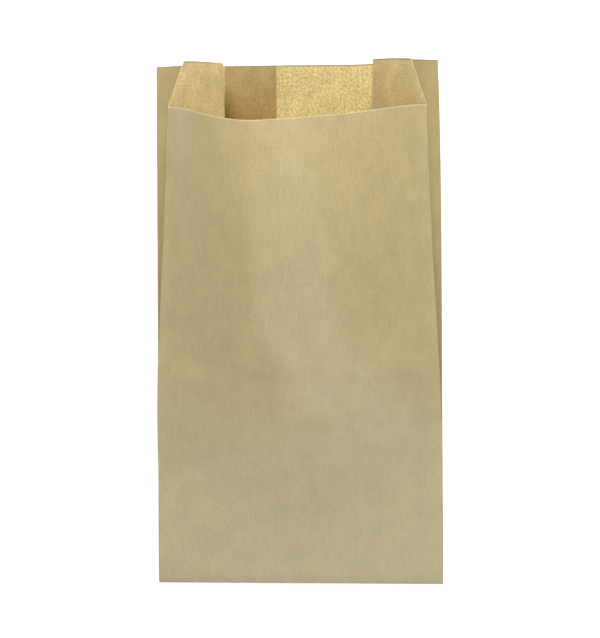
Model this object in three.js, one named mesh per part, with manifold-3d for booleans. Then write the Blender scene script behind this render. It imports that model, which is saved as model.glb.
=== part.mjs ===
// Kraft paper bag with side gussets, lying on its back with the mouth towards +Y.
// One sheet of paper: back panel, two gussets folded inward, front panel, glued along a seam in
// the back panel and folded over and glued at the bottom. Sizes in millimetres, +Z up.
import * as THREE from "three";
import { mergeVertices } from "three/addons/utils/BufferGeometryUtils.js";
import Module from "manifold-3d";

// The sheet
const panelWidth = 120;
const gussetHalf = 30;
const bagLength = 218.5;
const wall = 0.2;
const foldGap = 0.15;

// The mouth: the front panel is cut lower, with a slanting cut through each gusset's front half
const frontStep = 17.7;
const slantWidth = 7.8;

// The seam in the back panel, where the sheet's two edges lap
const seamOuterEdge = -31;
const seamInnerEdge = -9;
const seamRamp = 0.3;

// The bottom: all layers folded up under the back, with a single layer lip beyond them
const foldDepth = 8;
const foldThickness = 0.6;
const lipDepth = 26;
const lipThickness = 0.2;
const bottomDepth = 1;
const settleStart = 4;
const settleLength = 34;

// How far the bag has opened at the front panel's cut edge, as angles in radians
const flatLength = 42;
const softStart = 16;
const backAngleLeft = 0.21;
const backAngleRight = 0.417;
const frontAngleLeft = 0.825;
const frontAngleRight = 0.771;
const backRate = 1.34;
const frontRate = 1.3;

// Where the front panel bends from fold to fold, as shares of its width: round at the mouth, with
// flat flanks beside a flat top below it, which run out where the panel lies flat
const crestShare = 0.33;
const leftBend = 0.36;
const rightBend = 0.62;
const leftBendLow = 0.5;
const rightBendLow = 0.88;
const bendWidth = 0.07;
const roundStart = 130;
const roundLength = 72;
const lowFacets = 76;
const rightFacetLength = 45;
const flankRunOut = 0.95;

// The back panel's right side curls up a little at the mouth
const curlHeight = 7.1;
const curlWidth = 39;

// Steps of the mesh
const frontSteps = 20;
const archFineness = 12;
const gussetSteps = 4;
const curlSteps = 5;
const rowSpacing = 10;
const mouthRows = 4;
const mouthRowsDepth = 12;
const lengthStep = 2;

const paperColour = 0xb8a37b;

const frontEnd = bagLength - frontStep;
const layerPitch = wall + foldGap;
const halfWidth = panelWidth / 2;

const clamp01 = (value) => Math.min(1, Math.max(0, value));
const smooth = (value) => clamp01(value) ** 2 * (3 - 2 * clamp01(value));

// 0 in the flat part, 1 at the front panel's cut edge, with a soft start
function opening(v) {
  const past = Math.max(0, v - flatLength);
  const whole = frontEnd - flatLength;
  return (past ** 2 / (past + softStart)) * ((whole + softStart) / whole ** 2);
}

// Height of the back panel's middle plane: over the folded bottom, then down on the table
function backHeight(v) {
  const drop = smooth((v - lipDepth - settleStart) / settleLength);
  return wall / 2 + foldThickness * (1 - drop);
}

function curlAt(x, v) {
  const reach = clamp01((x - halfWidth + curlWidth) / curlWidth);
  return curlHeight * opening(v) ** 2 * reach ** 2;
}

// How much less wide the back panel lies where its side curls up
const curlInset = (v) => (2 / 3) * (curlHeight * opening(v) ** 2) ** 2 / curlWidth;

function along(point, angle, distance) {
  return { x: point.x + distance * Math.cos(angle), z: point.z + distance * Math.sin(angle) };
}

// One side of the bag from back to front, drawn as if it were the left one, each fold with a
// short web as wide as the layers' pitch
function sideFolds(edge, backAngle, frontAngle, archAngle) {
  const backWeb = (Math.PI + backAngle) / 2;
  const creaseWeb = (Math.PI + backAngle - frontAngle) / 2;
  const frontWeb = (Math.PI - frontAngle + archAngle) / 2;
  const back = [edge, along(edge, backWeb, layerPitch)];
  const backHalf = evenly(back[1], along(back[1], backAngle, gussetHalf), gussetSteps);
  const crease = along(backHalf.at(-1), creaseWeb, layerPitch);
  const front = along(crease, Math.PI - frontAngle, gussetHalf);
  const slant = along(crease, Math.PI - frontAngle, gussetHalf - slantWidth);
  const frontHalf = [...evenly(crease, slant, gussetSteps - 1), front];
  return [back[0], ...backHalf, ...frontHalf, along(front, frontWeb, layerPitch)];
}

function evenly(from, to, count) {
  const points = [];
  for (let k = 0; k <= count; k += 1) {
    const share = k / count;
    points.push({ x: from.x + (to.x - from.x) * share, z: from.z + (to.z - from.z) * share });
  }
  return points;
}

const mirrored = (points) => points.map((p) => ({ x: -p.x, z: p.z }));

// The front panel's slope from fold to fold at distance v from the bottom fold
function slopeShape(v) {
  const below = clamp01((lowFacets - v) / (lowFacets - flatLength));
  const near = smooth((lowFacets + rightFacetLength - v) / rightFacetLength);
  const left = (leftBend + (leftBendLow - leftBend) * near) * (1 - flankRunOut * below);
  const right = rightBend + (rightBendLow - rightBend) * near;
  const roundness = smooth((v - roundStart) / roundLength);
  const power = Math.log(0.5) / Math.log(crestShare);
  const bent = (share, place) => smooth((share - place) / bendWidth / 2 + 0.5);
  const faceted = (share) => 1 - bent(share, left) - bent(share, right);
  const rounded = (share) => Math.cos(Math.PI * share ** power);
  return (share) => faceted(share) * (1 - roundness) + rounded(share) * roundness;
}

// The front panel as an arch of fixed length, for one strength of bend
function archPoints(bend, slope) {
  const steps = frontSteps * archFineness;
  const points = [{ x: 0, z: 0 }];
  let point = points[0];
  for (let k = 0; k < steps; k += 1) {
    const heading = bend * slope((k + 0.5) / steps);
    point = along(point, heading, panelWidth / steps);
    if ((k + 1) % archFineness === 0) points.push(point);
  }
  return points;
}

function archFor(chord, slope) {
  let low = 0;
  let high = 2;
  for (let k = 0; k < 40; k += 1) {
    const middle = (low + high) / 2;
    const end = archPoints(middle, slope).at(-1);
    if (Math.hypot(end.x, end.z) > chord) low = middle;
    else high = middle;
  }
  return archPoints(low, slope);
}

function placedArch(from, to, slope) {
  const arch = archFor(Math.hypot(to.x - from.x, to.z - from.z), slope);
  const end = arch.at(-1);
  const turn = Math.atan2(to.z - from.z, to.x - from.x) - Math.atan2(end.z, end.x);
  const scale = Math.hypot(to.x - from.x, to.z - from.z) / Math.hypot(end.x, end.z);
  return arch.map((p) => {
    const angle = Math.atan2(p.z, p.x) + turn;
    return along(from, angle, Math.hypot(p.x, p.z) * scale);
  });
}

// The back panel from right to left, with the ramps of the seam's two edges
function backPoints(v) {
  const right = halfWidth - curlInset(v);
  const xs = [];
  for (let k = 0; k <= curlSteps; k += 1) xs.push(right - (curlWidth * k) / curlSteps);
  xs.push(seamInnerEdge, seamInnerEdge - seamRamp);
  xs.push(seamOuterEdge + seamRamp, seamOuterEdge, -halfWidth);
  return xs.map((x) => {
    const level = backHeight(v) + curlAt(x, v);
    const outerStep = x <= seamOuterEdge ? wall : 0;
    const innerStep = x < seamInnerEdge ? wall : 0;
    const low = level - wall / 2 + outerStep;
    return { x, z: level + innerStep, low, high: level + wall / 2 + innerStep };
  });
}

// The closed middle line of the wall at distance v from the bottom fold
const sectionCache = new Map();
function section(v) {
  if (!sectionCache.has(v)) sectionCache.set(v, makeSection(v));
  return sectionCache.get(v);
}

function makeSection(v) {
  const open = opening(v);
  const growth = (1 - Math.exp(-frontRate * open)) / (1 - Math.exp(-frontRate));
  const back = backPoints(v);
  const leftSide = (archAngle) => sideFolds(
    back.at(-1), backAngleLeft * open ** backRate, frontAngleLeft * growth, archAngle);
  const rightSide = (archAngle) => mirrored(sideFolds(
    mirrored(back)[0], backAngleRight * open ** backRate, frontAngleRight * growth, archAngle));
  const slope = slopeShape(v);
  const firstArch = placedArch(leftSide(0).at(-1), rightSide(0).at(-1), slope);
  const left = leftSide(startAngle(firstArch));
  const right = rightSide(startAngle(mirrored(firstArch).reverse()));
  const arch = placedArch(left.at(-1), right.at(-1), slope).slice(1, -1);
  const line = [...back.slice(0, -1), ...left, ...arch, ...right.slice(1).reverse()];
  return withOffsets(line, back);
}

function startAngle(points) {
  return Math.atan2(points[1].z - points[0].z, points[1].x - points[0].x);
}

// Adds the wall's outer and inner points to each point of the middle line
function withOffsets(line, back) {
  const count = line.length;
  return line.map((point, i) => {
    if (i > 0 && i < back.length - 1) {
      const across = { x: point.x, z: back[i].low };
      return { ...point, outer: across, inner: { x: point.x, z: back[i].high } };
    }
    const normal = cornerNormal(line[(i + count - 1) % count], point, line[(i + 1) % count]);
    const half = wall / 2;
    return {
      ...point,
      outer: { x: point.x + normal.x * half, z: point.z + normal.z * half },
      inner: { x: point.x - normal.x * half, z: point.z - normal.z * half },
    };
  });
}

function cornerNormal(before, point, after) {
  const a = Math.atan2(point.z - before.z, point.x - before.x);
  let turn = Math.atan2(after.z - point.z, after.x - point.x) - a;
  if (turn > Math.PI) turn -= 2 * Math.PI;
  if (turn < -Math.PI) turn += 2 * Math.PI;
  const angle = a + turn / 2 + Math.PI / 2;
  const length = 1 / Math.cos(turn / 2);
  return { x: Math.cos(angle) * length, z: Math.sin(angle) * length };
}

// Distances along the bag: the paper keeps its length, so fibres that rise reach less far in Y
function fibreReach() {
  const steps = Math.ceil(bagLength / lengthStep);
  const size = bagLength / steps;
  const reach = section(0).map(() => [0]);
  for (let k = 1; k <= steps; k += 1) {
    const before = section((k - 1) * size);
    const after = section(k * size);
    after.forEach((point, i) => {
      const side = (point.x - before[i].x) ** 2 + (point.z - before[i].z) ** 2;
      reach[i].push(reach[i][k - 1] + Math.sqrt(Math.max(size ** 2 - side, 0.01)));
    });
  }
  return (i, v) => {
    const place = Math.min(v / size, steps - 1e-9);
    const k = Math.floor(place);
    return reach[i][k] + (reach[i][k + 1] - reach[i][k]) * (place - k);
  };
}

// Fibres of the front panel and its two folds end at the low cut
function fibreTops(backCount, total) {
  const sideCount = 2 * gussetSteps + 4;
  const firstFront = backCount - 1 + sideCount - 2;
  const lastFront = total - (sideCount - 1) + 1;
  return (i) => (i >= firstFront && i <= lastFront ? frontEnd : bagLength);
}

function rowsFor(top) {
  const rows = [bottomDepth / 4, flatLength / 2, flatLength];
  const common = frontEnd - mouthRowsDepth;
  const count = Math.round((common - flatLength) / rowSpacing);
  for (let k = 1; k <= count; k += 1) rows.push(flatLength + ((common - flatLength) * k) / count);
  for (let k = 1; k <= mouthRows; k += 1) rows.push(common + ((top - common) * k) / mouthRows);
  return rows;
}

function tubeGeometry() {
  const reach = fibreReach();
  const total = section(0).length;
  const topOf = fibreTops(backPoints(0).length, total);
  const rows = rowsFor(bagLength).length;
  const points = [];
  for (const face of ["outer", "inner"]) {
    for (let i = 0; i < total; i += 1) {
      for (const v of rowsFor(topOf(i))) {
        const place = section(v)[i][face];
        points.push(place.x, reach(i, v), place.z);
      }
    }
  }
  const at = (face, i, j) => (face * total + (i % total)) * rows + j;
  const triangles = [];
  const quad = (a, b, c, d) => triangles.push(a, c, b, a, d, c);
  for (let i = 0; i < total; i += 1) {
    for (let j = 0; j < rows - 1; j += 1) {
      quad(at(0, i, j), at(0, i, j + 1), at(0, i + 1, j + 1), at(0, i + 1, j));
      quad(at(1, i, j), at(1, i + 1, j), at(1, i + 1, j + 1), at(1, i, j + 1));
    }
    quad(at(0, i, rows - 1), at(1, i, rows - 1), at(1, i + 1, rows - 1), at(0, i + 1, rows - 1));
    quad(at(0, i, 0), at(0, i + 1, 0), at(1, i + 1, 0), at(1, i, 0));
  }
  const geometry = new THREE.BufferGeometry();
  geometry.setAttribute("position", new THREE.Float32BufferAttribute(points, 3));
  geometry.setIndex(triangles);
  return geometry;
}

function blockGeometry(x, y, z) {
  const geometry = new THREE.BoxGeometry(x[1] - x[0], y[1] - y[0], z[1] - z[0]);
  return geometry.translate((x[0] + x[1]) / 2, (y[0] + y[1]) / 2, (z[0] + z[1]) / 2);
}

// Closes the tube's bottom end, from the fold's underside to the front panel's middle plane
function bottomPlug(level, foldBottom) {
  const top = level + 3 * layerPitch;
  const low = [[-halfWidth, foldBottom], [halfWidth, foldBottom]];
  const high = [[halfWidth, top], [-halfWidth, top + wall]];
  const shape = new THREE.Shape([...low, ...high].map(([x, z]) => new THREE.Vector2(x, z)));
  const geometry = new THREE.ExtrudeGeometry(shape, { depth: bottomDepth, bevelEnabled: false });
  return geometry.rotateX(Math.PI / 2).translate(0, bottomDepth, 0);
}

// The folded bottom: closes the tube, and lies glued under the back panel
function bottomBlocks() {
  const level = backHeight(0);
  const width = [-halfWidth, halfWidth];
  const raised = [-halfWidth, seamOuterEdge + seamRamp];
  const foldBottom = level - wall / 2 - foldThickness;
  const lipBottom = level - wall / 2 - lipThickness;
  return [
    bottomPlug(level, foldBottom),
    blockGeometry(width, [0, foldDepth], [foldBottom, level]),
    blockGeometry(width, [0, lipDepth], [lipBottom, level]),
    blockGeometry(raised, [0, lipDepth], [lipBottom, level + wall]),
  ];
}

function solidOf(geometry) {
  geometry.deleteAttribute("normal");
  geometry.deleteAttribute("uv");
  const merged = mergeVertices(geometry, 1e-4);
  return new wasm.Manifold(new wasm.Mesh({
    numProp: 3,
    vertProperties: merged.attributes.position.array,
    triVerts: new Uint32Array(merged.index.array),
  }));
}

function geometryOf(solid) {
  const mesh = solid.getMesh();
  const geometry = new THREE.BufferGeometry();
  const positions = [];
  for (let k = 0; k < mesh.vertProperties.length; k += mesh.numProp) {
    positions.push(...mesh.vertProperties.subarray(k, k + 3));
  }
  geometry.setAttribute("position", new THREE.Float32BufferAttribute(positions, 3));
  geometry.setIndex([...mesh.triVerts]);
  geometry.computeVertexNormals();
  return geometry;
}

const wasm = await Module();
wasm.setup();
let bagSolid = solidOf(tubeGeometry());
for (const geometry of bottomBlocks()) bagSolid = bagSolid.add(solidOf(geometry));

const paper = new THREE.MeshStandardMaterial({ name: "kraft_paper", color: paperColour, roughness: 0.9 });
const bag = new THREE.Mesh(geometryOf(bagSolid), paper);
bag.name = "bag";
bag.position.y = -bagLength / 2;

const part = new THREE.Group();
part.name = "kraft_paper_bag";
part.add(bag);

export default part;
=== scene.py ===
"""A kraft paper bag with side gussets, lying on its back and partly open, seen from above."""

import math

import bpy
import numpy as np
from mathutils import Matrix, Vector


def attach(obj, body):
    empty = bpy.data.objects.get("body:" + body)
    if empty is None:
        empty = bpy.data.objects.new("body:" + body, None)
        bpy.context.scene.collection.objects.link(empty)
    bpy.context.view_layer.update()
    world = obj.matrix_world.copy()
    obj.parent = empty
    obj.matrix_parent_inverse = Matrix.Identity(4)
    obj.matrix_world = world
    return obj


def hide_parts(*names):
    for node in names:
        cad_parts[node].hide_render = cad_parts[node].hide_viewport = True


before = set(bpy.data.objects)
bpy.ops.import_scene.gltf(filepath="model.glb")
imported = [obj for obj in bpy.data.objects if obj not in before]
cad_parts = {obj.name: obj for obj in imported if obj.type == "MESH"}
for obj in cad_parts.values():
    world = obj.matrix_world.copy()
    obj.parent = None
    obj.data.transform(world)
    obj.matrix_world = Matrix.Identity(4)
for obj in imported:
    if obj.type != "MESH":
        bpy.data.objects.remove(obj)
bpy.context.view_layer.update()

# The sheet in millimetres, as in the part's own source
PANEL_WIDTH = 120.0
GUSSET_HALF = 30.0
BAG_LENGTH = 218.5
FRONT_STEP = 17.7
SLANT_WIDTH = 7.8
SEAM_OUTER_EDGE = -31.0
SEAM_INNER_EDGE = -9.0
FOLD_DEPTH = 8.0
FOLD_THICKNESS = 0.6
LIP_DEPTH = 26.0
SETTLE_START = 4.0
SETTLE_LENGTH = 34.0

# How far the bag has opened at the front panel's cut edge, as angles in radians, also as there
FLAT_LENGTH = 42.0
SOFT_START = 16.0
BACK_ANGLE_LEFT = 0.21
BACK_ANGLE_RIGHT = 0.417
FRONT_ANGLE_LEFT = 0.825
FRONT_ANGLE_RIGHT = 0.771
BACK_RATE = 1.34
FRONT_RATE = 1.3

# Where the front panel bends from fold to fold, as shares of its width, also as there
CREST_SHARE = 0.33
LEFT_BEND = 0.36
RIGHT_BEND = 0.62
LEFT_BEND_LOW = 0.5
RIGHT_BEND_LOW = 0.88
ROUND_START = 130.0
ROUND_LENGTH = 72.0
LOW_FACETS = 76.0
RIGHT_FACET_LENGTH = 45.0
FLANK_RUN_OUT = 0.95

# The scene's own: how softly it bends, and how much steeper the left flank gets towards its fold
LEFT_BEND_WIDTH = 0.07
RIGHT_BEND_WIDTH = 0.13
FLANK_ROUNDING = 0.35
SMALLEST_FLANK = 0.1
# The scene's own: a rim lies flat beside the right fold, low down
RIM_START = 0.945
RIM_STEP = 0.012
RIM_TOP = 62.0
RIM_FADE = 10.0
# The scene's own: a shallow band crosses the left flank
BAND_PLACE = 96.0
BAND_SLANT = 10.0
BAND_WIDTH = 7.0
BAND_DEPTH = 0.5
# How the cuts wander: the front panel's by shares of its width, in millimetres, and the long one's
# at the back panel's right edge, middle and left edge, then crease, fold, fold, crease and edge
CUT_WAVE = ((0, 0), (0.05, -0.45), (0.15, 0.1), (0.29, -0.45),
            (0.42, -0.3), (0.57, 0.4), (0.85, 0.3), (1, 0))
TOP_WAVE = (0.2, -0.2, 0.5, 0.45, -0.2, -0.25, -0.2, 0.2)
# The bottom fold is pressed and round, and the front panel rolls a little beside its own folds
FOLD_PRESS = 0.45
FOLD_PRESS_DEPTH = 2.5
FOLD_ROUND = 0.4
FOLD_ROLL = 0.45
FOLD_ROLL_WIDTH = 4.0
# How far the back panel's right side curls up at the mouth, and how wide
CURL_HEIGHT = 7.1
CURL_WIDTH = 39.0

# The real sheet is thinner than the solid one
PAPER = 0.12
LAYER_PITCH = 0.24
SEAM_RAMP = 0.12

# How finely the sheet is divided: places round it in millimetres, and rows along it
FRONT_SPACING = 1.3
GUSSET_SPACING = 2.0
FOLD_MARGIN = 0.35
CURL_STEPS = 16
BACK_PLACES = (22.5, 18, 13.5, 9, 4.5, 0)
SEAM_PLACES = (-16.0, -23.0)
LEFT_PLACES = (-38.0, -45.0, -52.0)
ARCH_STEPS = 240
SECTIONS = 221
FIRST_ROWS = (0.0, 0.4, 1.0, 2.0)
LOWER_ROWS_START = 4.0
LOWER_ROWS = 94
UPPER_ROWS = 8
UPPER_LENGTH = 12.0
EDGE_ROW = 0.4
FOLD_TURN_POINTS = 9

# Limits of the search for how far the front panel bends, and of a row's step along Y
LARGEST_BEND = 2.0
BEND_HALVINGS = 40
SMALLEST_STEP = 0.01

FRONT_END = BAG_LENGTH - FRONT_STEP
HALF_WIDTH = PANEL_WIDTH / 2

# Camera: distance in millimetres, turns in radians about X, Y and Z, and the point that it looks at
FOCAL_PIXELS = 1500.0
IMAGE_WIDTH = 600
CAMERA_DISTANCE = 634.0
CAMERA_TURN = (0.0025, -0.0632, 0.0053)
CAMERA_SHIFT = (-0.37, -0.19)
CAMERA_AIM = 111.0 - BAG_LENGTH / 2
SENSOR_WIDTH = 36.0

MM = 0.001

# Colours as screen values of 0 to 255
# Painted light: the outside gets lighter and warmer from low down up towards the mouth, for light
# that comes through the paper there
OUTSIDE_PAINTED_LIGHT_TOP = (208, 191, 144)
OUTSIDE_PAINTED_LIGHT_MIDDLE = (200, 184, 139)
OUTSIDE_PAINTED_LIGHT_LOW = (189, 177, 136)
# Painted shade: darker along the bottom fold and on the folded-under bottom
OUTSIDE_SHADE_AT_FOLD = (183, 171, 133)
# Painted shade: the gussets' outer faces darker than the front, and darker still lower down, where
# the flaring front panel shades them
GUSSET_OUTSIDE_SHADE = (191, 173, 123)
GUSSET_OUTSIDE_SHADE_LOW = (176, 156, 113)
# Painted light: the single-layer inner faces golden and bright, as if lit through the paper; the
# specks between the two back colours are grain
INSIDE_BACK_DARK = (221, 197, 126)
INSIDE_BACK_LIGHT = (245, 231, 178)
INSIDE_GUSSET = (228, 211, 159)
# Painted shade: the seam's lap browner, for less light coming through two layers, and darker lower
# down and towards its left corner
INSIDE_LAP_SHADE_TOP = (197, 173, 121)
INSIDE_LAP_SHADE_LOW = (186, 151, 89)
INSIDE_LAP_SHADE_CORNER = (150, 112, 50)
CUT_COLOUR = (228, 212, 165)
# Painted shade: a grey line along the long top cut, where its edge lies in shadow
TOP_EDGE_SHADE_COLOUR = (152, 141, 124)

# Where those colours change, in millimetres up the sheet or round it from the back's right edge
LOW_TONE = (20.0, 110.0)
TOP_TONE = (120.0, 205.0)
END_TONE = 5.0
GUSSET_TONE = (90.0, 160.0)
LEFT_GUSSET_START = (119.5, 120.5)
LEFT_GUSSET_END = (152.0, 148.0)
RIGHT_GUSSET_START = (328.5, 330.5)
LAP_TONE = (190.0, 215.0)
LAP_EDGE = 0.2
LAP_CORNER_WIDTH = 9.0
CREASE_EDGE = 0.5
CUT_FRINGE = 0.8
CUT_TINT = 0.5
TOP_FRINGE = (0.9, 0.2)
TOP_EDGE_SHADE_TINT = 0.9

# The paper's marks: width, height and detail, and how strong streaks, clouds and specks are
STREAKS = (0.9, 7.0, 3.0)
CLOUDS = (9.0, 12.0, 4.0)
SPECKS = (0.75, 0.85, 3.0)
BACK_SPECKS = (1.0, 1.2, 3.0)
OUTSIDE_GRAIN = (0.03, 0.04, 0.06)
INSIDE_GRAIN = (0.04, 0.08, 0.13)
NOISE_RANGE = (0.28, 0.72)
NOISE_ROUGHNESS = 0.65
STREAK_HEIGHT = 1.5
BUMP_STRENGTH = 0.25
BUMP_HEIGHT = 0.0006

# Roughness and specular level, and the share of light that comes through the paper
OUTSIDE_GLOSS = (0.5, 0.8)
INSIDE_GLOSS = (0.9, 0.1)
CUT_ROUGHNESS = 0.9
LET_THROUGH = 0.3

# Lights in metres: place, point that it looks at, width and height, and power in watts
STRIP_SOFTBOX = ((0.05, -0.38, 1.0), (0.05, -0.38, 0.0), (0.18, 1.0), 3.8)
LOW_SOFTBOX = ((0.15, -1.0, 0.55), (0.0, 0.0, 0.0), (0.3, 0.5), 4.0)
MOUTH_LIGHT = ((0.03, 0.75, 0.34), (0.0, 0.09, 0.0), (0.5, 0.5), 8.7)
AMBIENT = 0.31
WHITE = (1.0, 1.0, 1.0, 1.0)
FLOOR_COLOUR = (0.85, 0.85, 0.85, 1.0)
FLOOR_SEEN = (1.3, 1.3, 1.3, 1.0)
FLOOR_HALF_SIZE = 0.4
FLOOR_DROP = 0.0002


def smooth(value):
    value = np.clip(value, 0.0, 1.0)
    return value * value * (3.0 - 2.0 * value)


def opening(v):
    """0 in the flat part, 1 at the front panel's cut edge, with a soft start."""
    past = np.maximum(0.0, v - FLAT_LENGTH)
    whole = FRONT_END - FLAT_LENGTH
    return past ** 2 / (past + SOFT_START) * (whole + SOFT_START) / whole ** 2


def back_height(v):
    drop = smooth((v - LIP_DEPTH - SETTLE_START) / SETTLE_LENGTH)
    return PAPER / 2 + FOLD_THICKNESS * (1.0 - drop)


def curl_at(x, v):
    reach = np.clip((x - HALF_WIDTH + CURL_WIDTH) / CURL_WIDTH, 0.0, 1.0)
    return CURL_HEIGHT * opening(v) ** 2 * reach ** 2


def curl_inset(v):
    """How much less wide the back panel lies where its side curls up."""
    return 2.0 / 3.0 * (CURL_HEIGHT * opening(v) ** 2) ** 2 / CURL_WIDTH


def spaced(length, step):
    """Distances along a panel, with a close one beside each fold."""
    count = max(2, round(length / step))
    inner = np.linspace(0.0, length, count + 1)[1:-1]
    return np.concatenate([[0.0, FOLD_MARGIN], inner, [length - FOLD_MARGIN, length]])


FRONT_PLACES = spaced(PANEL_WIDTH, FRONT_SPACING)
GUSSET_PLACES = spaced(GUSSET_HALF, GUSSET_SPACING)


def step_along(x, z, angle, distance):
    return x + distance * np.cos(angle), z + distance * np.sin(angle)


def side_folds(edge_x, edge_z, back_angle, front_angle, arch_angle):
    """One side from back to front, drawn as the left one: lists of x and z, a place at a time."""
    points = [(edge_x, edge_z)]
    start = step_along(edge_x, edge_z, (math.pi + back_angle) / 2, LAYER_PITCH)
    points += [step_along(*start, back_angle, d) for d in GUSSET_PLACES]
    crease = step_along(*points[-1], (math.pi + back_angle - front_angle) / 2, LAYER_PITCH)
    points += [step_along(*crease, math.pi - front_angle, d) for d in GUSSET_PLACES]
    points.append(step_along(*points[-1], (math.pi - front_angle + arch_angle) / 2, LAYER_PITCH))
    return np.array([p[0] for p in points]), np.array([p[1] for p in points])


def bend_places(v):
    """Where the flat left and right flanks end, as shares of the panel's width."""
    below = np.clip((LOW_FACETS - v) / (LOW_FACETS - FLAT_LENGTH), 0.0, 1.0)
    near = smooth((LOW_FACETS + RIGHT_FACET_LENGTH - v) / RIGHT_FACET_LENGTH)
    left = LEFT_BEND + (LEFT_BEND_LOW - LEFT_BEND) * near
    left = left * (1.0 - FLANK_RUN_OUT * below)
    right = RIGHT_BEND + (RIGHT_BEND_LOW - RIGHT_BEND) * near
    return left, right


def heading_shape(v):
    """How the front panel's slope runs from fold to fold: flat flanks and top, round at the mouth."""
    share = ((np.arange(ARCH_STEPS) + 0.5) / ARCH_STEPS)[:, None]
    left, right = bend_places(v)
    from_left = smooth((share - left) / LEFT_BEND_WIDTH / 2 + 0.5)
    from_right = smooth((share - right) / RIGHT_BEND_WIDTH / 2 + 0.5)
    nearer = 1.0 - share / np.maximum(left, SMALLEST_FLANK)
    steeper = FLANK_ROUNDING * np.clip(nearer, 0.0, 1.0)
    faceted = (1.0 - from_left) * (1.0 + steeper) - from_right
    rounded = np.cos(math.pi * share ** (math.log(0.5) / math.log(CREST_SHARE)))
    roundness = smooth((v - ROUND_START) / ROUND_LENGTH)
    shape = faceted * (1 - roundness) + rounded * roundness
    band = np.exp(-((v - BAND_PLACE + BAND_SLANT * share) / BAND_WIDTH) ** 2)
    shape = shape * (1 - BAND_DEPTH * band * (share < left))
    rim = smooth((share - RIM_START) / RIM_STEP) * (1 - smooth((v - RIM_TOP) / RIM_FADE))
    shape = shape * (1 - rim)
    from_fold = np.minimum(share, 1 - share) * PANEL_WIDTH
    return shape * (1 - FOLD_ROLL * np.exp(-(from_fold / FOLD_ROLL_WIDTH) ** 2))


def arch(bend, shape):
    """The front panel bent by this much, from its left fold: x and z, a place at a time."""
    heading = bend * shape
    size = PANEL_WIDTH / ARCH_STEPS
    start = np.zeros((1, heading.shape[1]))
    x = np.concatenate([start, np.cumsum(np.cos(heading) * size, axis=0)])
    z = np.concatenate([start, np.cumsum(np.sin(heading) * size, axis=0)])
    return x, z


def placed_arch(start, end, shape):
    """The arch whose ends lie at these two points, at the front panel's places."""
    chord = np.hypot(end[0] - start[0], end[1] - start[1])
    low = np.zeros_like(chord)
    high = np.full_like(chord, LARGEST_BEND)
    for _ in range(BEND_HALVINGS):
        middle = (low + high) / 2
        x, z = arch(middle, shape)
        longer = np.hypot(x[-1], z[-1]) > chord
        low = np.where(longer, middle, low)
        high = np.where(longer, high, middle)
    x, z = arch(low, shape)
    turn = np.arctan2(end[1] - start[1], end[0] - start[0]) - np.arctan2(z[-1], x[-1])
    scale = chord / np.hypot(x[-1], z[-1])
    angle = np.arctan2(z, x) + turn
    length = np.hypot(x, z) * scale
    place = FRONT_PLACES / PANEL_WIDTH * ARCH_STEPS
    before = np.minimum(place.astype(int), ARCH_STEPS - 1)
    share = (place - before)[:, None]
    px = start[0] + length * np.cos(angle)
    pz = start[1] + length * np.sin(angle)
    px = px[before] * (1 - share) + px[before + 1] * share
    pz = pz[before] * (1 - share) + pz[before + 1] * share
    return px, pz


def back_line(v):
    """The back panel from right to left: x, middle height, and the lower and upper face."""
    right = HALF_WIDTH - curl_inset(v)
    marks = [right - CURL_WIDTH * k / CURL_STEPS for k in range(CURL_STEPS + 1)]
    flat = [SEAM_INNER_EDGE + place for place in BACK_PLACES]
    flat += [SEAM_INNER_EDGE - SEAM_RAMP, *SEAM_PLACES]
    flat += [SEAM_OUTER_EDGE + SEAM_RAMP, SEAM_OUTER_EDGE, *LEFT_PLACES, -HALF_WIDTH]
    marks += [np.full_like(v, x) for x in flat]
    x = np.array(marks)
    level = back_height(v)[None] + curl_at(x, v[None])
    low = level - PAPER / 2 + np.where(x <= SEAM_OUTER_EDGE, PAPER, 0.0)
    high = level + PAPER / 2 + np.where(x < SEAM_INNER_EDGE, PAPER, 0.0)
    return x, level + np.where(x < SEAM_INNER_EDGE, PAPER, 0.0), low, high


def start_angle(x, z):
    return np.arctan2(z[1] - z[0], x[1] - x[0])


def middle_line(v):
    """The closed middle line of the wall at each v: x and z, fibre by fibre, and the back's faces."""
    open_share = opening(v)
    growth = (1 - np.exp(-FRONT_RATE * open_share)) / (1 - math.exp(-FRONT_RATE))
    bx, bz, low, high = back_line(v)

    def left(arch_angle):
        angle = BACK_ANGLE_LEFT * open_share ** BACK_RATE
        return side_folds(bx[-1], bz[-1], angle, FRONT_ANGLE_LEFT * growth, arch_angle)

    def right(arch_angle):
        angle = BACK_ANGLE_RIGHT * open_share ** BACK_RATE
        x, z = side_folds(-bx[0], bz[0], angle, FRONT_ANGLE_RIGHT * growth, arch_angle)
        return -x, z

    shape = heading_shape(v)
    zero = np.zeros_like(v)
    lx, lz = left(zero)
    rx, rz = right(zero)
    ax, az = placed_arch((lx[-1], lz[-1]), (rx[-1], rz[-1]), shape)
    lx, lz = left(start_angle(ax, az))
    rx, rz = right(start_angle(-ax[::-1], az[::-1]))
    ax, az = placed_arch((lx[-1], lz[-1]), (rx[-1], rz[-1]), shape)
    x = np.concatenate([bx[:-1], lx, ax[1:-1], rx[1:][::-1]])
    z = np.concatenate([bz[:-1], lz, az[1:-1], rz[1:][::-1]])
    return x, z, low, high


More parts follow.
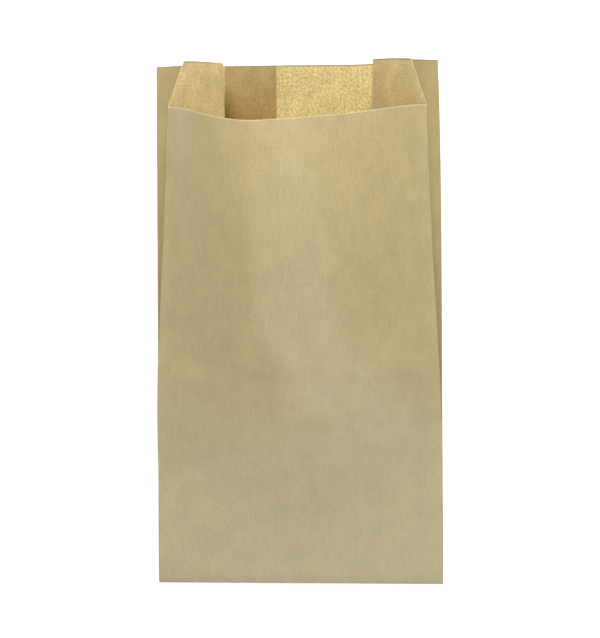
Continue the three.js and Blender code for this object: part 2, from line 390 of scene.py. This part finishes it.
def offset_faces(x, z, low, high):
    """Outer and inner face from the middle line, by half the paper each way."""
    ax, az = x - np.roll(x, 1, 0), z - np.roll(z, 1, 0)
    bx, bz = np.roll(x, -1, 0) - x, np.roll(z, -1, 0) - z
    first = np.arctan2(az, ax)
    turn = (np.arctan2(bz, bx) - first + math.pi) % (2 * math.pi) - math.pi
    angle = first + turn / 2 + math.pi / 2
    reach = PAPER / 2 / np.cos(turn / 2)
    outer = np.array([x + reach * np.cos(angle), z + reach * np.sin(angle)])
    inner = np.array([x - reach * np.cos(angle), z - reach * np.sin(angle)])
    count = len(low)
    outer[:, 1:count - 1] = np.array([x[1:count - 1], low[1:-1]])
    inner[:, 1:count - 1] = np.array([x[1:count - 1], high[1:-1]])
    return outer, inner


def reach_along(x, z, v):
    """How far along Y each fibre gets: the paper keeps its length, so what rises gets less far."""
    step = np.diff(v)
    side = np.diff(x, axis=1) ** 2 + np.diff(z, axis=1) ** 2
    y = np.cumsum(np.sqrt(np.maximum(step[None] ** 2 - side, SMALLEST_STEP)), axis=1)
    return np.concatenate([np.zeros((len(x), 1)), y], axis=1)


BACK_COUNT = len(back_line(np.array([0.0]))[0])
SIDE_COUNT = 2 * len(GUSSET_PLACES) + 2


def fibre_tops(fibre_count):
    """How far up the sheet each fibre is cut, and which fibres end at the lower cut."""
    left_fold = BACK_COUNT - 1 + SIDE_COUNT - 2
    right_fold = fibre_count - (SIDE_COUNT - 1) + 1
    gusset = len(GUSSET_PLACES)
    marks = [0, BACK_COUNT // 2, BACK_COUNT - 1, left_fold - gusset, left_fold, right_fold]
    marks += [right_fold + gusset, fibre_count]
    tops = BAG_LENGTH + np.interp(np.arange(fibre_count), marks, TOP_WAVE)
    shares = FRONT_PLACES / PANEL_WIDTH
    wave = np.interp(shares, *np.transpose(CUT_WAVE))
    front = slice(left_fold, right_fold + 1)
    along = np.linspace(0, 1, right_fold + 1 - left_fold)
    tops[front] = FRONT_END
    tops[front] += np.interp(along, shares, wave)
    low_cut = np.zeros(fibre_count, bool)
    low_cut[front] = True
    for k, place in enumerate(GUSSET_PLACES[::-1]):
        share = (GUSSET_HALF - place) / SLANT_WIDTH
        if share < 1.0:
            fibres = [left_fold - k, right_fold + k]
            tops[fibres] = FRONT_END + FRONT_STEP * share
            low_cut[fibres] = True
    return tops, low_cut


def rows_for(top):
    """The rows of one fibre: the same for all below the mouth, and stretched to its cut there."""
    common = FRONT_END - UPPER_LENGTH
    lower = np.concatenate([FIRST_ROWS, np.linspace(LOWER_ROWS_START, common, LOWER_ROWS)])
    upper = common + (top - common) * np.linspace(0.0, 1.0, UPPER_ROWS + 1)[1:]
    upper = np.insert(upper, -1, top - EDGE_ROW)
    return np.concatenate([lower, upper])


def sheet_places(x, z):
    """Distance of each fibre round the sheet, starting at the back panel's right edge."""
    size = np.hypot(np.diff(x[:, 0]), np.diff(z[:, 0]))
    return np.concatenate([[0.0], np.cumsum(size)])


def pressed(z, v):
    """The layers lie closer together at the bottom fold."""
    share = 1 - FOLD_PRESS * np.exp(-(v / FOLD_PRESS_DEPTH) ** 2)
    return np.where(z > FOLD_THICKNESS, FOLD_THICKNESS + (z - FOLD_THICKNESS) * share, z)


def bag_grids():
    """Outer and inner face as grids of points (fibre, row, xyz), and the paper's own places."""
    v = np.linspace(0.0, BAG_LENGTH, SECTIONS)
    x, z, low, high = middle_line(v)
    outer, inner = offset_faces(x, z, low, high)
    y = reach_along(x, z, v)
    tops, low_cut = fibre_tops(len(x))
    rows = np.array([rows_for(top) for top in tops])
    faces = []
    for face in (outer, inner):
        grid = np.zeros(rows.shape + (3,))
        for i, places in enumerate(rows):
            grid[i, :, 0] = np.interp(places, v, face[0, i])
            grid[i, :, 1] = np.interp(places, v, y[i])
            grid[i, :, 2] = pressed(np.interp(places, v, face[1, i]), places)
        faces.append(grid)
    from_edge = tops[:, None] - rows
    from_cut = np.where(low_cut[:, None], from_edge, BAG_LENGTH)
    from_top = np.where(low_cut[:, None], BAG_LENGTH, from_edge)
    return faces[0], faces[1], rows, sheet_places(x, z), from_cut, from_top


def shell_mesh():
    outer, inner, rows, around, from_cut, from_top = bag_grids()
    fibres, levels = rows.shape
    points = np.concatenate([outer.reshape(-1, 3), inner.reshape(-1, 3)])
    points[:, 1] -= BAG_LENGTH / 2
    index = np.arange(fibres * levels).reshape(fibres, levels)
    following = np.roll(index, -1, axis=0)
    a, b = index[:, :-1], index[:, 1:]
    c, d = following[:, 1:], following[:, :-1]
    far = fibres * levels
    outer_quads = np.stack([a, d, c, b], -1).reshape(-1, 4)
    inner_quads = np.stack([a, b, c, d], -1).reshape(-1, 4) + far
    top = np.stack([index[:, -1], following[:, -1], following[:, -1] + far, index[:, -1] + far], -1)
    end = np.stack([index[:, 0], index[:, 0] + far, following[:, 0] + far, following[:, 0]], -1)
    quads = np.concatenate([outer_quads, inner_quads, top, end])
    slots = [0] * len(outer_quads) + [1] * len(inner_quads) + [2] * (len(top) + len(end))
    mesh = bpy.data.meshes.new("bag_paper")
    mesh.from_pydata((points * MM).tolist(), [], quads.tolist())
    mesh.polygons.foreach_set("material_index", slots)
    mesh.polygons.foreach_set("use_smooth", [True] * len(quads))
    add_sheet_map(mesh, quads, rows, around)
    add_distance(mesh, "from_cut", from_cut)
    add_distance(mesh, "from_top", from_top)
    return mesh


def add_distance(mesh, name, distance):
    """The distance to one kind of cut edge, for the points of both faces."""
    values = np.tile(distance.ravel(), 2)
    mesh.attributes.new(name, "FLOAT", "POINT").data.foreach_set("value", values.tolist())


def fold_profile(x, top):
    """The folded bottom at this x: round its edge, along its underside, and over the lip."""
    turn = np.linspace(0.0, math.pi, FOLD_TURN_POINTS)
    edge = [(-FOLD_ROUND * math.sin(t), top / 2 * (1 + math.cos(t))) for t in turn]
    raised = PAPER if x < SEAM_OUTER_EDGE else 0.0
    lip_top = FOLD_THICKNESS + raised
    lip_bottom = FOLD_THICKNESS - PAPER
    under = [(FOLD_DEPTH, 0.0), (FOLD_DEPTH, lip_bottom)]
    lip = [(LIP_DEPTH, lip_bottom), (LIP_DEPTH, lip_top), (0.0, lip_top)]
    return edge + under + lip


def fold_mesh():
    """The bottom of the bag, folded up under the back panel and glued there."""
    outer, _, _, around, _, _ = bag_grids()
    first = BACK_COUNT - 1 + SIDE_COUNT - 2
    last = len(outer) - (SIDE_COUNT - 1) + 1
    line = outer[first:last + 1, 0]
    profiles = np.array([fold_profile(x, z) for x, _, z in line])
    stations, places = profiles.shape[:2]
    points = np.zeros((stations, places, 3))
    points[..., 0] = line[:, :1]
    points[..., 1:] = profiles
    points[..., 1] -= BAG_LENGTH / 2
    index = np.arange(stations * places).reshape(stations, places)
    following = np.roll(index, -1, axis=1)
    sides = np.stack([index[:-1], following[:-1], following[1:], index[1:]], -1).reshape(-1, 4)
    faces = sides.tolist() + [index[0][::-1].tolist(), index[-1].tolist()]
    mesh = bpy.data.meshes.new("bottom_fold")
    mesh.from_pydata((points.reshape(-1, 3) * MM).tolist(), [], faces)
    far = np.cumsum(np.hypot(*np.diff(profiles[0], axis=0, prepend=profiles[0, :1]).T))
    layer = mesh.uv_layers.new(name="sheet")
    corner = np.array([loop.vertex_index for loop in mesh.loops])
    place = around[first + corner // places]
    layer.data.foreach_set("uv", (np.stack([place, -far[corner % places]], -1).ravel() * MM).tolist())
    for name in ("from_cut", "from_top"):
        distance = mesh.attributes.new(name, "FLOAT", "POINT")
        distance.data.foreach_set("value", [BAG_LENGTH] * len(mesh.vertices))
    return mesh


def add_sheet_map(mesh, quads, rows, around):
    """A UV map in metres on the flat sheet: round the bag, and up from its bottom fold."""
    fibres, levels = rows.shape
    fibre = quads // levels % fibres
    place = around[fibre]
    closing = (fibre.max(1) == fibres - 1) & (fibre.min(1) == 0)
    place[closing] = np.where(fibre[closing] == 0, around[-1] + LAYER_PITCH, place[closing])
    height = np.tile(rows.ravel(), 2)[quads]
    layer = mesh.uv_layers.new(name="sheet")
    layer.data.foreach_set("uv", (np.stack([place, height], -1).ravel() * MM).tolist())


def srgb(colour):
    """Linear colour from screen values of 0 to 255."""
    values = []
    for value in colour:
        share = value / 255
        values.append(share / 12.92 if share <= 0.04045 else ((share + 0.055) / 1.055) ** 2.4)
    return (*values, 1.0)


def plain_material(name, colour, roughness):
    material = bpy.data.materials.new(name)
    material.use_nodes = True
    shader = material.node_tree.nodes["Principled BSDF"]
    shader.inputs["Base Color"].default_value = colour
    shader.inputs["Roughness"].default_value = roughness
    return material


def add_node(tree, kind, values=None, **settings):
    """A new node; values are its inputs by name or number, as sockets to link or plain values."""
    node = tree.nodes.new(kind)
    for key, value in settings.items():
        setattr(node, key, value)
    for key, value in (values or {}).items():
        if isinstance(value, bpy.types.NodeSocket):
            tree.links.new(value, node.inputs[key])
        else:
            node.inputs[key].default_value = value
    return node


def mixed(tree, factor, first, second):
    """first where factor is 0 and second where it is 1."""
    node = add_node(tree, "ShaderNodeMix", {0: factor, 6: first, 7: second}, data_type="RGBA")
    return node.outputs[2]


def ramp(tree, value, start, end, low=0.0, high=1.0):
    """value from start to end, smoothly turned into low to high."""
    values = {"Value": value, "From Min": start, "From Max": end, "To Min": low, "To Max": high}
    node = add_node(tree, "ShaderNodeMapRange", values, interpolation_type="SMOOTHSTEP")
    return node.outputs["Result"]


def ramp_mm(tree, value, places):
    """0 at the first place and 1 at the second, where value is in metres and they in millimetres."""
    return ramp(tree, value, places[0] * MM, places[1] * MM)


def total(tree, first, second):
    return add_node(tree, "ShaderNodeMath", {0: first, 1: second}, operation="ADD").outputs[0]


def product(tree, first, second):
    return add_node(tree, "ShaderNodeMath", {0: first, 1: second}, operation="MULTIPLY").outputs[0]


def noise(tree, place, marks, low, high):
    """Noise on the sheet; marks gives their rough width and height in millimetres, and detail."""
    width, height, detail = marks
    size = (1.0 / (width * MM), 1.0 / (height * MM), 1.0)
    scaled = add_node(tree, "ShaderNodeMapping", {"Vector": place, "Scale": size})
    values = {"Vector": scaled.outputs["Vector"], "Scale": 1.0}
    values.update({"Detail": detail, "Roughness": NOISE_ROUGHNESS})
    made = add_node(tree, "ShaderNodeTexNoise", values, noise_dimensions="2D")
    return ramp(tree, made.outputs[0], *NOISE_RANGE, low, high)


def fringed(tree, colour):
    """This colour, lighter along the front panel's cut, and with a painted shade, greyer, along the
    long one, whose cut edge lies in shadow.
    """
    from_cut = add_node(tree, "ShaderNodeAttribute", attribute_name="from_cut").outputs["Fac"]
    from_top = add_node(tree, "ShaderNodeAttribute", attribute_name="from_top").outputs["Fac"]
    near_cut = ramp(tree, from_cut, CUT_FRINGE, 0.0, 0.0, CUT_TINT)
    near_top_shade = ramp(tree, from_top, *TOP_FRINGE, 0.0, TOP_EDGE_SHADE_TINT)
    colour = mixed(tree, near_cut, colour, srgb(CUT_COLOUR))
    return mixed(tree, near_top_shade, colour, srgb(TOP_EDGE_SHADE_COLOUR))


def paper_material(name, grain, gloss, colour_of):
    """Paper: colour_of gives its colour from the sheet's places, grain is (streak, cloud, speck)."""
    material = bpy.data.materials.new(name)
    material.use_nodes = True
    tree = material.node_tree
    place = add_node(tree, "ShaderNodeUVMap", uv_map="sheet").outputs["UV"]
    parts = add_node(tree, "ShaderNodeSeparateXYZ", {"Vector": place})
    streaks = noise(tree, place, STREAKS, -grain[0], grain[0])
    clouds = noise(tree, place, CLOUDS, -grain[1], grain[1])
    specks = noise(tree, place, SPECKS, -grain[2], grain[2])
    value = total(tree, total(tree, streaks, clouds), total(tree, specks, 1.0))
    colour = fringed(tree, colour_of(tree, parts.outputs["X"], parts.outputs["Y"]))
    toned = add_node(tree, "ShaderNodeHueSaturation", {"Value": value, "Color": colour})
    height = total(tree, specks, product(tree, streaks, STREAK_HEIGHT))
    relief = {"Height": height, "Strength": BUMP_STRENGTH, "Distance": BUMP_HEIGHT}
    bump = add_node(tree, "ShaderNodeBump", relief)
    shader = tree.nodes["Principled BSDF"]
    shader.inputs["Roughness"].default_value = gloss[0]
    shader.inputs["Specular IOR Level"].default_value = gloss[1]
    tree.links.new(toned.outputs["Color"], shader.inputs["Base Color"])
    tree.links.new(bump.outputs["Normal"], shader.inputs["Normal"])
    through = add_node(tree, "ShaderNodeBsdfTranslucent", {"Color": toned.outputs["Color"]})
    sockets = {0: LET_THROUGH, 1: shader.outputs["BSDF"], 2: through.outputs["BSDF"]}
    both = add_node(tree, "ShaderNodeMixShader", sockets)
    tree.links.new(both.outputs["Shader"], tree.nodes["Material Output"].inputs["Surface"])
    return material


def outside_colour(tree, around, height):
    """Painted light: lighter and warmer towards the mouth, for light that comes through the paper
    there, and greyer where the layers lie flat; painted shade at the bottom fold and on the gussets'
    outer faces.
    """
    # painted light: lighter and warmer up towards the mouth
    lower = mixed(tree, ramp_mm(tree, height, LOW_TONE), srgb(OUTSIDE_PAINTED_LIGHT_LOW), srgb(OUTSIDE_PAINTED_LIGHT_MIDDLE))
    front = mixed(tree, ramp_mm(tree, height, TOP_TONE), lower, srgb(OUTSIDE_PAINTED_LIGHT_TOP))
    # painted shade along the bottom fold, over its last millimetres and all over the folded-under
    # bottom
    front = mixed(tree, ramp_mm(tree, height, (END_TONE, 0.0)), front, srgb(OUTSIDE_SHADE_AT_FOLD))
    # painted shade on the gussets' outer faces, darker lower down
    past_start = ramp_mm(tree, around, LEFT_GUSSET_START)
    before_end = ramp_mm(tree, around, LEFT_GUSSET_END)
    left = product(tree, past_start, before_end)
    right = ramp_mm(tree, around, RIGHT_GUSSET_START)
    up = ramp_mm(tree, height, GUSSET_TONE)
    gusset = mixed(tree, up, srgb(GUSSET_OUTSIDE_SHADE_LOW), srgb(GUSSET_OUTSIDE_SHADE))
    return mixed(tree, total(tree, left, right), front, gusset)


def inside_colour(tree, around, height):
    """Painted light: golden where the wall is a single layer, as if lit through the paper; painted
    shade in the seam's lap, browner for less light through two layers, darker lower down and towards
    its left corner.
    """
    right_edge = HALF_WIDTH - SEAM_INNER_EDGE
    left_edge = HALF_WIDTH - SEAM_OUTER_EDGE
    past_inner_edge = ramp_mm(tree, around, (right_edge, right_edge + LAP_EDGE))
    before_outer_edge = ramp_mm(tree, around, (left_edge + LAP_EDGE, left_edge))
    lap = product(tree, past_inner_edge, before_outer_edge)
    past_crease = ramp_mm(tree, around, (PANEL_WIDTH, PANEL_WIDTH + CREASE_EDGE))
    # painted light: the single-layer wall golden, as if lit through the paper
    place = add_node(tree, "ShaderNodeUVMap", uv_map="sheet").outputs["UV"]
    specks = noise(tree, place, BACK_SPECKS, 0.0, 1.0)
    back = mixed(tree, specks, srgb(INSIDE_BACK_DARK), srgb(INSIDE_BACK_LIGHT))
    single = mixed(tree, past_crease, back, srgb(INSIDE_GUSSET))
    # painted shade in the lap, darker towards its left corner and lower down
    off_corner = ramp_mm(tree, around, (left_edge, left_edge - LAP_CORNER_WIDTH))
    low = mixed(tree, off_corner, srgb(INSIDE_LAP_SHADE_CORNER), srgb(INSIDE_LAP_SHADE_LOW))
    brown = mixed(tree, ramp_mm(tree, height, LAP_TONE), low, srgb(INSIDE_LAP_SHADE_TOP))
    return mixed(tree, lap, single, brown)


def make_bag():
    bag = bpy.data.objects.new("bag_shell", shell_mesh())
    bpy.context.scene.collection.objects.link(bag)
    outside = paper_material("kraft_outside", OUTSIDE_GRAIN, OUTSIDE_GLOSS, outside_colour)
    inside = paper_material("kraft_inside", INSIDE_GRAIN, INSIDE_GLOSS, inside_colour)
    bag.data.materials.append(outside)
    bag.data.materials.append(inside)
    bag.data.materials.append(plain_material("kraft_cut", srgb(CUT_COLOUR), CUT_ROUGHNESS))
    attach(bag, "root")
    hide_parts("bag")
    fold = bpy.data.objects.new("bag_bottom_fold", fold_mesh())
    bpy.context.scene.collection.objects.link(fold)
    fold.data.materials.append(outside)
    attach(fold, "root")


def make_camera():
    data = bpy.data.cameras.new("camera")
    data.sensor_fit = "HORIZONTAL"
    data.sensor_width = SENSOR_WIDTH
    data.lens = FOCAL_PIXELS / IMAGE_WIDTH * SENSOR_WIDTH
    camera = bpy.data.objects.new("camera", data)
    bpy.context.scene.collection.objects.link(camera)
    rotation = (Matrix.Rotation(CAMERA_TURN[0], 3, "X") @ Matrix.Rotation(CAMERA_TURN[1], 3, "Y")
                @ Matrix.Rotation(CAMERA_TURN[2], 3, "Z")).transposed()
    shift = Vector((CAMERA_SHIFT[0], CAMERA_SHIFT[1], -CAMERA_DISTANCE))
    place = (Vector((0.0, CAMERA_AIM, 0.0)) - rotation @ shift) * MM
    camera.matrix_world = Matrix.Translation(place) @ rotation.to_4x4()
    bpy.context.scene.camera = camera


def area_light(name, place, target, size, energy):
    data = bpy.data.lights.new(name, "AREA")
    data.shape = "RECTANGLE"
    data.size, data.size_y = size
    data.energy = energy
    light = bpy.data.objects.new(name, data)
    bpy.context.scene.collection.objects.link(light)
    light.location = place
    light.rotation_euler = (Vector(target) - Vector(place)).to_track_quat("-Z", "Y").to_euler()
    return light


def seen_ray(tree):
    """1 for rays that show the background: from the camera, mirrored or let through."""
    path = add_node(tree, "ShaderNodeLightPath")
    value = path.outputs["Is Camera Ray"]
    for name in ("Is Glossy Ray", "Is Transmission Ray"):
        pair = {0: value, 1: path.outputs[name]}
        value = add_node(tree, "ShaderNodeMath", pair, operation="MAXIMUM").outputs[0]
    return value


def make_lights():
    """Two softboxes, a light towards the mouth that gives no sheen, and an even white surround."""
    area_light("strip_softbox", *STRIP_SOFTBOX)
    area_light("low_softbox", *LOW_SOFTBOX)
    mouth = area_light("mouth_light", *MOUTH_LIGHT)
    mouth.visible_glossy = False
    world = bpy.data.worlds.new("studio")
    bpy.context.scene.world = world
    world.use_nodes = True
    tree = world.node_tree
    background = tree.nodes["Background"]
    background.inputs["Color"].default_value = WHITE
    level = ramp(tree, seen_ray(tree), 0.0, 1.0, AMBIENT, 1.0)
    tree.links.new(level, background.inputs["Strength"])


def make_floor():
    """A pale floor that looks white where the camera sees it, and keeps the bag's shadow."""
    mesh = bpy.data.meshes.new("floor")
    size = FLOOR_HALF_SIZE
    corners = [(-size, -size, 0), (size, -size, 0), (size, size, 0), (-size, size, 0)]
    mesh.from_pydata(corners, [], [(0, 1, 2, 3)])
    floor = bpy.data.objects.new("floor", mesh)
    floor.location.z = -FLOOR_DROP
    bpy.context.scene.collection.objects.link(floor)
    material = plain_material("white_floor", FLOOR_COLOUR, 1.0)
    tree = material.node_tree
    shader = tree.nodes["Principled BSDF"]
    shader.inputs["Specular IOR Level"].default_value = 0.0
    colour = mixed(tree, seen_ray(tree), FLOOR_COLOUR, FLOOR_SEEN)
    tree.links.new(colour, shader.inputs["Base Color"])
    mesh.materials.append(material)


bpy.context.scene.view_settings.view_transform = "Standard"
make_camera()
make_lights()
make_floor()
make_bag()
